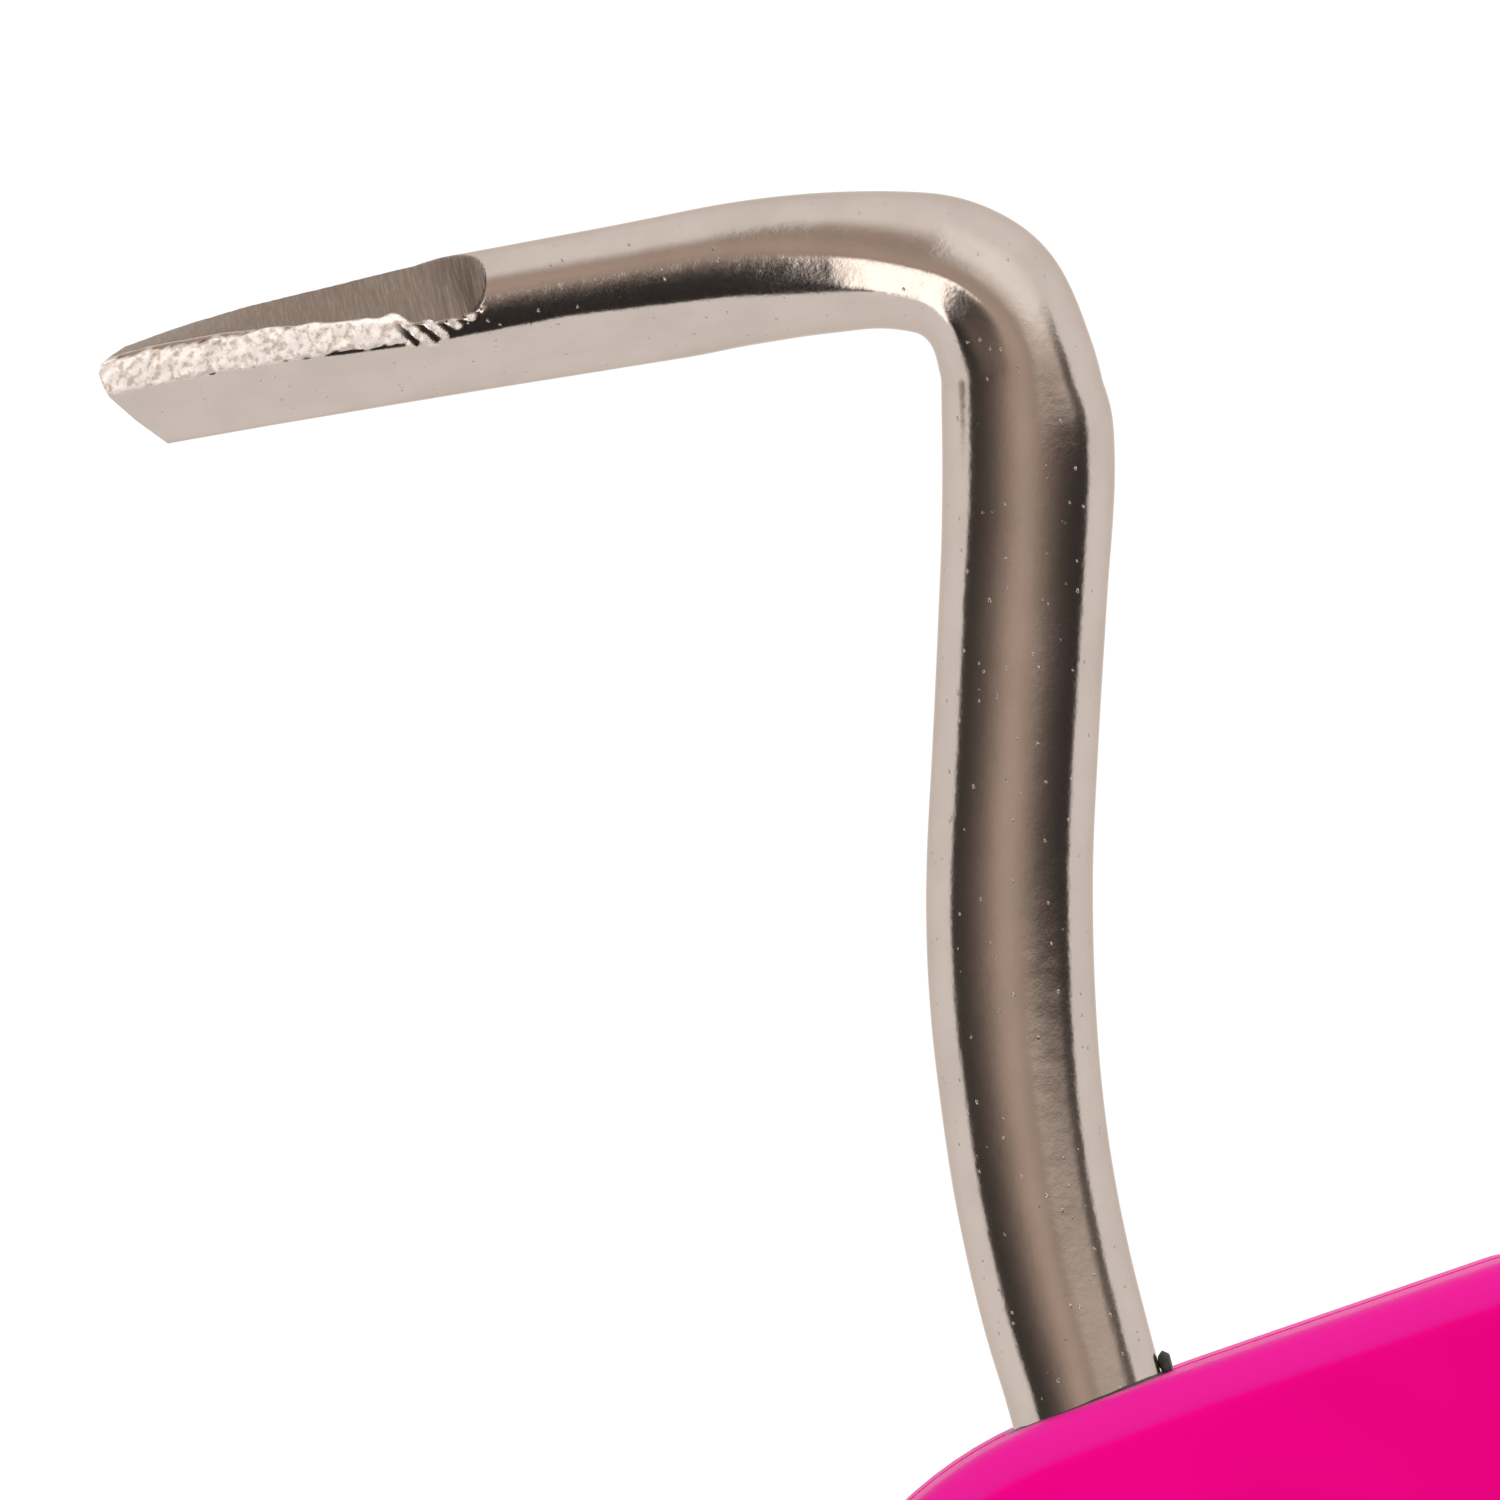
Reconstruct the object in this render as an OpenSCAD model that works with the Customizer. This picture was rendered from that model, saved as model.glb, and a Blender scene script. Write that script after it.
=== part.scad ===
// Hoof pick with brush: a bent steel pick held in a moulded plastic handle, with
// nylon bristle tufts stapled into one side of the handle's head.
// The tool lies on its flat side. +X runs from the butt to the pick, +Y is the
// side that the pick's tip points to, and the bristles point to -Y.
// The origin is on the hang hole's axis, halfway between the two flat faces.

/* [Handle] */
// Thickness between the two flat faces
handle_t = 21; // [19:0.5:24]
// From the hang hole's axis to the mouth of the pick's socket
mouth_x = 104; // [100:1:112]
// Width of the grip at its palm swell
grip_w = 29; // [26:0.5:32]
// Width of the grip at its waist
waist_w = 25; // [22:0.5:26]
// Edge radius around the head
head_edge_r = 2; // [1.5:0.1:2.5]
// Edge radius around the grip
grip_edge_r = 6; // [4:0.5:7]
// Diameter of the hang hole
hang_hole_d = 8; // [6:0.5:9]

/* [Pick] */
// Diameter of the steel rod
rod_d = 6.35; // [6:0.05:7]
// Length of rod held inside the handle
rod_embed = 42; // [34:1:46]
// How far the rod's axis lies to the bristle side of the handle's axis
rod_offset = 2; // [0:0.5:3]
// Length of the straight tip arm, up to its end cut
arm_l = 24.4; // [20:0.1:28]

/* [Brush] */
// From the handle's axis to the face of the bristle pad
pad_y = 24; // [23:0.5:26]
// Tufts in each outer row; the middle row has one fewer
tufts_per_row = 8; // [5:1:8]
// Distance between tufts along a row
tuft_pitch = 5; // [4.6:0.1:5]
// Distance between rows
row_pitch = 5; // [4.6:0.1:5.2]
// Diameter of the tuft holes
tuft_hole_d = 3.2; // [2.8:0.1:3.4]
// Depth of the tuft holes
tuft_hole_depth = 9; // [7:0.5:11]
// Length of bristle that stands out of the pad
bristle_l = 25; // [18:1:28]

/* [Hidden] */
ROW_NAMES = ["a", "b", "c"];

$fn = 96;
arc_steps = 10;         // points along each rounded corner of the outline
edge_steps = 5;         // rings around each rounded edge
max_run = 6;            // longest stretch of outline without a point
far = 40;               // size of a cutter that reaches past the whole part

// Handle outline: corners as [x, y, corner radius], counter-clockwise
rod_y = -rod_offset;
butt_x = -14;
pad_start_x = 54;
handle_outline = [
    [mouth_x + 1.6, -pad_y, 4.5],                // end face meets the bristle pad
    [mouth_x + 0.34, rod_y - 4, 120],            // slight crown beside the rod
    [mouth_x - 1.9, 16.6, 16.8],                 // round shoulder below the pick's tip
    [60, waist_w / 2, 55],                       // finger hollow
    [28, grip_w / 2 + 0.6, 45],                  // palm swell
    [butt_x, grip_w / 2 - 1.2, 13],
    [butt_x, 1.2 - grip_w / 2, 13],
    [26, -grip_w / 2 - 0.6, 40],
    [pad_start_x - 8, -waist_w / 2, 11],         // neck between the grip and the pad
    [pad_start_x, -pad_y, 6]
];
cap_hub_x = 60;         // both flat faces fan out from here, with all their edge in sight
edge_blend_x = [66, 40];  // the edge radius grows from the head's to the grip's
hang_hole_chamfer = 0.8;

// Rod steps: [straight length, bend radius, bend angle]; + bends towards +Y
shank_rise = 3.6;
rod_steps = [
    [rod_embed + shank_rise, 65, -18],
    [10, 70, 5],
    [1.4, 4.6, 82],
    [0, 32, 16],
    [arm_l + rod_d, 0, 0]
];
// The rod's width in the plane of its bends, which press it slightly oval:
// [distance from the socket's mouth, share of rod_d]
rod_widths = [[0, 1], [10, 1.02], [18, 1.07], [27, 1.055], [39, 1.09], [46, 1.025], [54, 0.925], [68, 0.865]];
// Past the sharp bend the arm is drawn to a flatter oval, whose long axis leans
// to the outer side: [distance from the mouth, degrees] and [distance, half axis]
oval_lean = [[42.5, 0], [50.5, 35]];
oval_half = [[42.5, 3], [46, 3.12], [50, 3.55], [56, 3.74], [63, 3.68], [70, 3.58]];
rod_sides = 40;
bend_step = 7;          // degrees of bend between two rings of the rod

// Ground chisel tip, in the arm's own frame: +X to the tip, -Y to the outer side
end_cut_angle = 35;     // from square across the arm
ground_l = 14.5;        // length of the flat part of the ground face
ground_slope = 3.4;     // fall of the ground face towards the tip
ground_tilt = 22;       // turn of the ground face about the arm, towards +Z
ground_rise = 1.5;      // height of the ground face over the arm's axis at the tip
wheel_r = 1.6;          // run-out left by the grinding wheel
pressed_lean = 57;      // turn of the pressed flat about the arm, from +Z to the inner side
pressed_slope = 1.7;    // fall of the pressed flat towards the tip
pressed_rise = 1.75;    // height of the pressed flat over the arm's axis at the tip

// Held end of the rod: two flats stop it turning and a groove stops it pulling out
flat_l = 14;
flat_t = 4.6;
groove_w = 3;
groove_depth = 0.8;
groove_to_mouth = 14;
socket_gap = 0.02;      // between the rod and the plastic around it

// Dark bead around the rod at the socket's mouth
bead_d = rod_d + 0.7;
bead_depth = 1.2;
bead_proud = 0.22;
mouth_slope = 5.7;      // slope of the end face at the rod
mouth_drop = 0.06;      // from mouth_x down to the end face on the rod's axis
nub_d = 0.55;
nub_x = [0.34, 1.15];   // from mouth_x to the nub's two ends
nub_r = 3.45;           // from the rod's axis to the nub's axis

// Brush
row_start_x = 63;
tuft_gap = 0.04;        // between a tuft and the wall of its hole
tuft_tip_d = 4.3;
staple_w = tuft_hole_d + 0.4;
staple_t = 0.45;
staple_h = 2.2;
staple_lift = 0.8;      // from the hole's bottom to the staple

function tuft_count(row) = row == 1 ? tufts_per_row - 1 : tufts_per_row;
function tuft_name(row, i) = str("tuft_", ROW_NAMES[row], i);
function staples_name(row) = str("staples_", ROW_NAMES[row]);
function tuft_x(row, i) = row_start_x + (i - (row == 1 ? 0.5 : 1)) * tuft_pitch;
function row_z(row) = (row - 1) * row_pitch;

function unit(v) = v / norm(v);
function right_of(v) = [v[1], -v[0]];
function left_of(v) = [-v[1], v[0]];
function ahead(heading) = [cos(heading), sin(heading)];
function turned(v, a) = [v[0] * cos(a) - v[1] * sin(a), v[0] * sin(a) + v[1] * cos(a)];
function smooth(t) = t <= 0 ? 0 : t >= 1 ? 1 : t * t * (3 - 2 * t);
function edge_r(x) = head_edge_r + (grip_edge_r - head_edge_r)
    * smooth((x - edge_blend_x[0]) / (edge_blend_x[1] - edge_blend_x[0]));

// One rounded corner of an outline, as [point, outward normal] pairs
function corner_arc(before, corner, after) =
    let (c = [corner[0], corner[1]],
         way_in = unit(c - [before[0], before[1]]),
         way_out = unit([after[0], after[1]] - c),
         turn = atan2(way_in[0] * way_out[1] - way_in[1] * way_out[0], way_in * way_out),
         r = turn < 0 ? -corner[2] : corner[2],
         start = c - way_in * abs(r * tan(turn / 2)),
         centre = start - r * right_of(way_in))
    [for (k = [0:arc_steps])
        let (normal = turned(right_of(way_in), turn * k / arc_steps))
        [centre + r * normal, normal]];

// A whole outline, with extra points along its straight runs
function outline_points(corners) =
    let (n = len(corners),
         arcs = [for (i = [0:n - 1])
                 for (p = corner_arc(corners[(i + n - 1) % n], corners[i], corners[(i + 1) % n])) p])
    [for (i = [0:len(arcs) - 1])
        let (here = arcs[i],
             step = arcs[(i + 1) % len(arcs)] - here,
             parts = max(1, ceil(norm(step[0]) / max_run)))
        for (k = [0:parts - 1]) [here[0] + step[0] * k / parts, unit(here[1] + step[1] * k / parts)]];

// A plate of the given outline, with its edges rounded by edge_r(x)
module rounded_plate(corners, thickness) {
    line = outline_points(corners);
    n = len(line);
    angles = concat([for (k = [0:edge_steps]) -90 + 90 * k / edge_steps],
                    [for (k = [0:edge_steps]) 90 * k / edge_steps]);
    rings = len(angles);
    points = [for (j = [0:rings - 1], p = line)
        let (r = edge_r(p[0][0]),
             q = p[0] - r * (1 - cos(angles[j])) * p[1],
             middle = (thickness / 2 - r) * (j <= edge_steps ? -1 : 1))
        [q[0], q[1], middle + r * sin(angles[j])]];
    sides = [for (j = [0:rings - 2], i = [0:n - 1])
        let (a = j * n + i, b = j * n + (i + 1) % n)
        for (face = [[a, a + n, b + n], [a, b + n, b]]) face];
    hub = rings * n;
    caps = [for (i = [0:n - 1])
        let (a = (rings - 1) * n + i, b = (rings - 1) * n + (i + 1) % n)
        for (face = [[hub, i, (i + 1) % n], [hub + 1, b, a]]) face];
    centres = [for (side = [-1, 1]) [cap_hub_x, 0, side * thickness / 2]];
    polyhedron(concat(points, centres), concat(sides, caps));
}

// Stations along the rod as [point, heading, distance], from step i on
function rod_stations(i, at, heading, distance) =
    let (run = rod_steps[i][0],
         radius = rod_steps[i][1],
         angle = rod_steps[i][2],
         runs = ceil(run / max_run),
         bends = ceil(abs(angle) / bend_step),
         bend_at = at + run * ahead(heading),
         centre = bend_at + sign(angle) * radius * left_of(ahead(heading)),
         curved = function (a) [centre - sign(angle) * radius * left_of(ahead(heading + a)),
                                heading + a,
                                distance + run + radius * abs(a) * PI / 180],
         end = curved(angle))
    concat([for (k = [0:1:runs - 1])
                [at + run * k / runs * ahead(heading), heading, distance + run * k / runs]],
           [for (k = [0:1:bends - 1]) curved(angle * k / bends)],
           i + 1 < len(rod_steps) ? rod_stations(i + 1, end[0], end[1], end[2]) : [end]);

// The whole rod as one tube, before its held end and its tip are cut
module rod_tube() {
    stations = rod_stations(0, [mouth_x - rod_embed, rod_y], 0, -rod_embed);
    last = len(stations) - 1;
    points = [for (s = stations)
        let (half = rod_d / 2 * lookup(s[2], rod_widths),
             lean = lookup(s[2], oval_lean),
             upright = lean > 0 ? lookup(s[2], oval_half) : pow(rod_d / 2, 2) / half,
             across = sqrt(pow(half, 2) - pow(upright * sin(lean), 2)) / cos(lean))
        for (k = [0:rod_sides - 1])
            let (q = 360 * k / rod_sides,
                 aside = across * cos(q) * cos(lean) - upright * sin(q) * sin(lean),
                 p = s[0] + aside * left_of(ahead(s[1])))
            [p[0], p[1], across * cos(q) * sin(lean) + upright * sin(q) * cos(lean)]];
    sides = [for (j = [0:last - 1], k = [0:rod_sides - 1])
        let (a = j * rod_sides + k, b = j * rod_sides + (k + 1) % rod_sides)
        for (face = [[a, b, b + rod_sides], [a, b + rod_sides, a + rod_sides]]) face];
    held_end = [for (k = [0:rod_sides - 1]) rod_sides - 1 - k];
    tip_end = [for (k = [0:rod_sides - 1]) last * rod_sides + k];
    polyhedron(points, concat(sides, [held_end, tip_end]));
}

module rod_along_x(x, d, h) {
    translate([x, 0, 0]) rotate([0, 90, 0]) cylinder(d = d, h = h);
}

// Moves a child to the start of the rod's held end
module on_rod_axis() {
    translate([mouth_x - rod_embed, rod_y, 0]) children();
}

// Moves a child to the arm's end: +X along the arm, -Y to its outer side
module at_tip() {
    end = rod_stations(0, [mouth_x - rod_embed, rod_y], 0, 0);
    arm = end[len(end) - 1];
    translate([arm[0][0], arm[0][1], 0]) rotate([0, 0, arm[1]]) translate([-rod_d, 0, 0]) children();
}

// The slanted end cut, the ground face and the pressed flat of the chisel tip
module tip_cuts() {
    at_tip() {
        rotate([0, 0, end_cut_angle]) translate([0, -far / 2, -far / 2]) cube(far);
        rotate([-ground_tilt, 0, 0]) translate([0, -ground_rise, 0])
            rotate([0, 0, ground_slope]) ground_cut();
        rotate([-pressed_lean, 0, 0]) translate([0, 0, pressed_rise])
            rotate([0, pressed_slope, 0]) translate([-arm_l, -far / 2, 0]) cube(far);
    }
}

// What the grinding wheel takes away: a flat face and a round run-out
module ground_cut() {
    translate([-ground_l, -far, -far / 2]) cube(far);
    translate([-ground_l, -wheel_r, -far / 2]) cylinder(r = wheel_r, h = far);
}

// The flats and the groove near the rod's held end, left smaller by a gap all round
module rod_grip_cuts(gap) {
    for (flip = [0, 1])
        mirror([0, 0, flip]) translate([-1, -far / 2, flat_t / 2 + gap]) cube([flat_l + 1 - gap, far, rod_d]);
    translate([rod_embed - groove_to_mouth + gap, 0, 0]) difference() {
        rod_along_x(0, rod_d + 1, groove_w - 2 * gap);
        rod_along_x(-1, rod_d - 2 * groove_depth + 2 * gap, groove_w + 2);
    }
}

// The space that the moulded plastic leaves for the rod
module socket() {
    on_rod_axis() difference() {
        rod_along_x(-socket_gap, rod_d + 2 * socket_gap, rod_embed + shank_rise);
        rod_grip_cuts(socket_gap);
    }
}

module bead_recess(h) {
    on_rod_axis() rod_along_x(rod_embed - bead_depth, bead_d, h);
}

// Moves a child that points along +Z from its hole's bottom to its place in the pad
module at_tuft(row, i) {
    translate([tuft_x(row, i), tuft_hole_depth - pad_y, row_z(row)]) rotate([90, 0, 0]) children();
}

module staple() {
    translate([-staple_t / 2, -staple_w / 2, staple_lift]) cube([staple_t, staple_w, staple_h]);
}

module handle() {
    color([0.94, 0.0, 0.53]) difference() {
        rounded_plate(handle_outline, handle_t);
        socket();
        bead_recess(far);
        cylinder(d = hang_hole_d, h = handle_t + 2, center = true);
        for (flip = [0, 1])
            mirror([0, 0, flip]) translate([0, 0, handle_t / 2 - hang_hole_chamfer])
                cylinder(d1 = hang_hole_d, d2 = hang_hole_d + 2 * hang_hole_chamfer,
                         h = hang_hole_chamfer);
        for (row = [0:2], i = [1:tuft_count(row)]) at_tuft(row, i) {
            cylinder(d = tuft_hole_d, h = tuft_hole_depth + 1);
            staple();
        }
    }
}

module pick_rod() {
    color([0.70, 0.64, 0.58]) difference() {
        rod_tube();
        on_rod_axis() rod_grip_cuts(0);
        tip_cuts();
    }
}

module socket_bead() {
    color([0.12, 0.12, 0.12]) {
        difference() {
            bead_recess(bead_depth + 1);
            socket();
            translate([mouth_x - mouth_drop + bead_proud, rod_y, 0])
                rotate([0, 0, mouth_slope]) translate([0, -far / 2, -far / 2]) cube(far);
        }
        translate([0, -nub_r, 0]) on_rod_axis()
            rod_along_x(rod_embed + nub_x[0], nub_d, nub_x[1] - nub_x[0]);
    }
}

module staples(row) {
    color([0.75, 0.72, 0.66]) for (i = [1:tuft_count(row)]) at_tuft(row, i) staple();
}

module tuft(row, i) {
    root_d = tuft_hole_d - 2 * tuft_gap;
    color([0.08, 0.08, 0.09]) at_tuft(row, i) difference() {
        union() {
            cylinder(d = root_d, h = tuft_hole_depth);
            translate([0, 0, tuft_hole_depth]) cylinder(d1 = root_d, d2 = tuft_tip_d, h = bristle_l);
        }
        staple();
    }
}

handle();
pick_rod();
socket_bead();
for (row = [0:2]) {
    staples(row);
    for (i = [1:tuft_count(row)]) {
        tuft(row, i);
    }
}
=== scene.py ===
"""Hoof pick with brush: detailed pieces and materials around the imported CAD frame.

Sizes and tables are in millimetres in the CAD frame, and meshes are made in metres.
The tool lies on its flat side: +X runs from the butt to the pick, +Y is the side the
pick's tip points to, the bristles point to -Y, and the origin is on the hang hole's axis.
"""

import math
import random

import bmesh
import bpy
import numpy as np
from mathutils import Matrix, Vector, noise


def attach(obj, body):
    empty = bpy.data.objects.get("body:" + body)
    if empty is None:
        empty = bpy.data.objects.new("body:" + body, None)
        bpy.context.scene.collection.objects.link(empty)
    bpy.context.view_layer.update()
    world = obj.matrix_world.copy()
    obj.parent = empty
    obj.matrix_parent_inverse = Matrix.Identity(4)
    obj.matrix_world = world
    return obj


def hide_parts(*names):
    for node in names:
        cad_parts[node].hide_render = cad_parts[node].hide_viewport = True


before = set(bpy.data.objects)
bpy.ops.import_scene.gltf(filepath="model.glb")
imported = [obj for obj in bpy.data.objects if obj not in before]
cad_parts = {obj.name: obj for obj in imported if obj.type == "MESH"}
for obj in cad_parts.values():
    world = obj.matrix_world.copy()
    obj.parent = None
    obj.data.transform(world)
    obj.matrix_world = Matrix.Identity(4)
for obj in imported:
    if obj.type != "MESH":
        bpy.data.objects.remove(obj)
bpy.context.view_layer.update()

MM = 0.001
HANDLE_T = 21.0         # thickness of the handle
FLOOR_Z = -HANDLE_T / 2
MOUTH_X = 104.0         # where the rod leaves the handle
MOUTH_SLOPE = math.radians(5.7)     # of the handle's end face beside the rod
MOUTH_DROP = 0.06       # the end face lies this far back from MOUTH_X at the rod
ROD_Y = -2.0            # the rod's axis, where it leaves the handle
ROD_D = 6.35
ROD_EMBED = 42.0        # length of rod inside the handle
PAD_Y = 24.0            # the face with the bristles lies at -PAD_Y


# ---------------------------------------------------------------- small helpers
def smooth(t):
    t = np.clip(t, 0.0, 1.0)
    return t * t * (3 - 2 * t)


def lookup(x, table):
    """Straight-line lookup in [[x, value], ...], held level past both ends."""
    return np.interp(x, [row[0] for row in table], [row[1] for row in table])


def eased(x, table, reach):
    """A lookup whose corners are rounded over reach to each side."""
    return float(np.mean(lookup(x + reach * np.linspace(-1, 1, 15), table)))


def make_mesh(name, points_mm, faces):
    mesh = bpy.data.meshes.new(name)
    mesh.from_pydata([tuple(p) for p in np.asarray(points_mm) * MM], [], faces)
    mesh.update()
    return mesh


def make_piece(name, mesh, material, nodes):
    piece = bpy.data.objects.new(name, mesh)
    bpy.context.scene.collection.objects.link(piece)
    mesh.materials.append(material)
    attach(piece, "root")
    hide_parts(*nodes)
    return piece


def ring_quads(base, sides, rings):
    """Faces between rings of points that follow one another from point number base."""
    faces = []
    for j in range(rings - 1):
        for k in range(sides):
            a, b = base + j * sides + k, base + j * sides + (k + 1) % sides
            faces.append((a, b, b + sides, a + sides))
    return faces


def tube_faces(base, sides, rings):
    """The faces between rings, with a flat cap on each end."""
    last = base + (rings - 1) * sides
    caps = [tuple(range(base + sides - 1, base - 1, -1)), tuple(range(last, last + sides))]
    return ring_quads(base, sides, rings) + caps


def shade_smooth(mesh, sharp_deg=None):
    mesh.polygons.foreach_set("use_smooth", [True] * len(mesh.polygons))
    if sharp_deg is not None:
        mesh.set_sharp_from_angle(angle=math.radians(sharp_deg))
    mesh.update()


def float_attribute(mesh, name, values):
    layer = mesh.attributes.new(name, "FLOAT", "POINT")
    layer.data.foreach_set("value", np.asarray(values, np.float32))


# ---------------------------------------------------------------- camera
# The camera looks straight down on the flat side, turned 15 degrees about the
# vertical, so the tool stands a little out of line with the picture's sides.
VIEW_TURN = math.radians(15)
PICTURE_RIGHT = Vector((-math.sin(VIEW_TURN), -math.cos(VIEW_TURN), 0))
PICTURE_UP = Vector((math.cos(VIEW_TURN), -math.sin(VIEW_TURN), 0))
VIEW_CENTRE = Vector((132.99, 4.37, 0)) * MM
VIEW_WIDTH = 60.75 * MM
CAMERA_HEIGHT = 1.5

camera_data = bpy.data.cameras.new("camera")
camera_data.sensor_width = 36
camera_data.lens = 36 * CAMERA_HEIGHT / VIEW_WIDTH
camera_data.clip_start = 0.01
camera_data.clip_end = 20
camera = bpy.data.objects.new("camera", camera_data)
camera.matrix_world = (
    Matrix.Translation(VIEW_CENTRE + Vector((0, 0, CAMERA_HEIGHT)))
    @ Matrix((PICTURE_RIGHT, PICTURE_UP, Vector((0, 0, 1)))).transposed().to_4x4()
)
bpy.context.scene.collection.objects.link(camera)
bpy.context.scene.camera = camera


# ---------------------------------------------------------------- node helpers
class Nodes:
    """Short names for making and joining shader nodes."""

    def __init__(self, tree):
        self.tree = tree

    def add(self, kind, **settings):
        node = self.tree.nodes.new(kind)
        for key, value in settings.items():
            setattr(node, key, value)
        return node

    def put(self, socket, value):
        if isinstance(value, bpy.types.NodeSocket):
            self.tree.links.new(value, socket)
        else:
            socket.default_value = value

    def math(self, operation, *values):
        node = self.add("ShaderNodeMath", operation=operation)
        for socket, value in zip(node.inputs, values):
            self.put(socket, value)
        return node.outputs[0]

    def step(self, value, low, high, to_low=0.0, to_high=1.0):
        """A smooth change from to_low at low to to_high at high."""
        node = self.add("ShaderNodeMapRange", interpolation_type="SMOOTHSTEP")
        for socket, x in zip(node.inputs, (value, low, high, to_low, to_high)):
            self.put(socket, x)
        return node.outputs[0]

    def mix(self, share, first, second):
        node = self.add("ShaderNodeMix", data_type="RGBA")
        self.put(node.inputs[0], share)
        self.put(node.inputs[6], first)
        self.put(node.inputs[7], second)
        return node.outputs[2]

    def place(self):
        return self.add("ShaderNodeTexCoord").outputs["Object"]

    def stretched(self, vector, scale):
        node = self.add("ShaderNodeMapping")
        self.put(node.inputs["Vector"], vector)
        self.put(node.inputs["Scale"], scale)
        return node.outputs[0]

    def noise(self, vector, size_mm, detail=3.0, roughness=0.55):
        node = self.add("ShaderNodeTexNoise")
        self.put(node.inputs["Vector"], vector)
        self.put(node.inputs["Scale"], 1 / (size_mm * MM))
        self.put(node.inputs["Detail"], detail)
        self.put(node.inputs["Roughness"], roughness)
        return node.outputs["Fac"]

    def cells(self, vector, size_mm):
        node = self.add("ShaderNodeTexVoronoi", feature="F1")
        self.put(node.inputs["Vector"], vector)
        self.put(node.inputs["Scale"], 1 / (size_mm * MM))
        return node

    def bump(self, height, height_mm, normal=None):
        node = self.add("ShaderNodeBump")
        self.put(node.inputs["Height"], height)
        self.put(node.inputs["Distance"], height_mm * MM)
        self.put(node.inputs["Strength"], 1.0)
        if normal is not None:
            self.put(node.inputs["Normal"], normal)
        return node.outputs[0]

    def attribute(self, name):
        return self.add("ShaderNodeAttribute", attribute_name=name).outputs["Fac"]


def new_material(name):
    material = bpy.data.materials.new(name)
    material.use_nodes = True
    nodes = Nodes(material.node_tree)
    shader = next(n for n in material.node_tree.nodes if n.type == "BSDF_PRINCIPLED")
    return material, nodes, shader


def grey(value):
    return (value, value, value, 1)


# ---------------------------------------------------------------- materials
NICKEL = (0.575, 0.495, 0.445, 1)
GROUND_STEEL = (0.235, 0.178, 0.142, 1)
GROUND_LINE = (0.32, 0.255, 0.21, 1)
# painted glints and painted shade for the torn edge: a white matte colour stands in for the
# shine of torn steel, a greyer one for the shade between its glints
TORN_GLINT_WHITE = (1.0, 0.93, 0.87, 1)
TORN_GLINT_SHADE = (0.66, 0.55, 0.47, 1)


def rod_material():
    """Bright nickel plate, with bare ground steel and a torn edge where marked. The torn edge's
    colour is painted: white matte spots as painted glints, greyer mottles as painted shade.
    """
    material, nodes, shader = new_material("nickel_plate")
    place = nodes.place()
    ground = nodes.attribute("ground")
    burr = nodes.attribute("burr")

    # plate: slight waves from drawing and plating, fine grain, and sparse pits with
    # ragged edges
    waves = nodes.noise(place, 0.9, 2.0)
    grain = nodes.noise(place, 0.11, 2.0, 0.6)
    ragged = nodes.add("ShaderNodeTexNoise")
    nodes.put(ragged.inputs["Vector"], place)
    ragged.inputs["Scale"].default_value = 9000
    nearby = nodes.add("ShaderNodeVectorMath", operation="MULTIPLY_ADD")
    nodes.put(nearby.inputs[0], ragged.outputs["Color"])
    nearby.inputs[1].default_value = (0.00016, 0.00016, 0.00016)
    nodes.put(nearby.inputs[2], place)
    pits = nodes.cells(nodes.stretched(nearby.outputs[0], (0.7, 1, 1)), 0.42)
    pit_draw = nodes.math("FRACT", nodes.math("MULTIPLY", pits.outputs["Color"], 7.13))
    pit = nodes.step(nodes.math("DIVIDE", pits.outputs["Distance"],
                                nodes.math("ADD", pit_draw, 0.15)), 0.17, 0.06)
    pit = nodes.math("MULTIPLY", pit, nodes.step(pit_draw, 0.55, 0.75))

    # ground steel: lines across the face, at two scales
    lines = nodes.noise(nodes.stretched(place, (1.0, 14.0, 0.6)), 1.5, 3.0, 0.65)
    fine_lines = nodes.noise(nodes.stretched(place, (0.8, 9.0, 0.5)), 0.4, 2.0, 0.6)

    stain = nodes.noise(place, 2.6, 3.0)
    plate_colour = nodes.mix(
        nodes.step(stain, 0.35, 0.7),
        NICKEL,
        (NICKEL[0] * 0.93, NICKEL[1] * 0.93, NICKEL[2] * 0.92, 1),
    )
    steel_colour = nodes.mix(
        nodes.step(nodes.math("ADD", nodes.math("MULTIPLY", lines, 0.6),
                              nodes.math("MULTIPLY", fine_lines, 0.4)), 0.42, 0.66),
        GROUND_STEEL,
        GROUND_LINE,
    )
    colour = nodes.mix(ground, plate_colour, steel_colour)
    # torn edge: a noise mottle of painted shade and painted glints, in place of shiny torn metal
    torn = nodes.mix(nodes.step(nodes.noise(place, 0.30, 2.0), 0.36, 0.56),
                     TORN_GLINT_SHADE, TORN_GLINT_WHITE)
    colour = nodes.mix(burr, colour, torn)
    nodes.put(shader.inputs["Base Color"], colour)
    metallic = nodes.step(burr, 0.0, 1.0, 1.0, 0.0)
    nodes.put(shader.inputs["Metallic"], metallic)
    shader.inputs["Specular Tint"].default_value = (0.76, 0.69, 0.64, 1)
    rough = nodes.step(grain, 0.3, 0.7, 0.115, 0.165)
    rough = nodes.math("ADD", rough, nodes.math("MULTIPLY", ground, 0.27))
    rough = nodes.math("ADD", rough, nodes.math("MULTIPLY", burr, 0.22))
    nodes.put(shader.inputs["Roughness"], rough)

    normal = nodes.bump(waves, 0.012)
    normal = nodes.bump(grain, 0.0024, normal)
    normal = nodes.bump(nodes.math("MULTIPLY", pit, nodes.math("SUBTRACT", 1.0, ground)),
                        0.02, normal)
    normal = nodes.bump(nodes.math("MULTIPLY", lines, ground), 0.03, normal)
    nodes.put(shader.inputs["Normal"], normal)
    return material


PINK = (0.83, 0.0, 0.245, 1)
DEEP_PINK = (0.775, 0.0, 0.205, 1)
# painted sheen: a paler pink on the rounded edges and side walls stands in for the light they
# catch
SHEEN_PINK = (0.74, 0.011, 0.285, 1)


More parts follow.
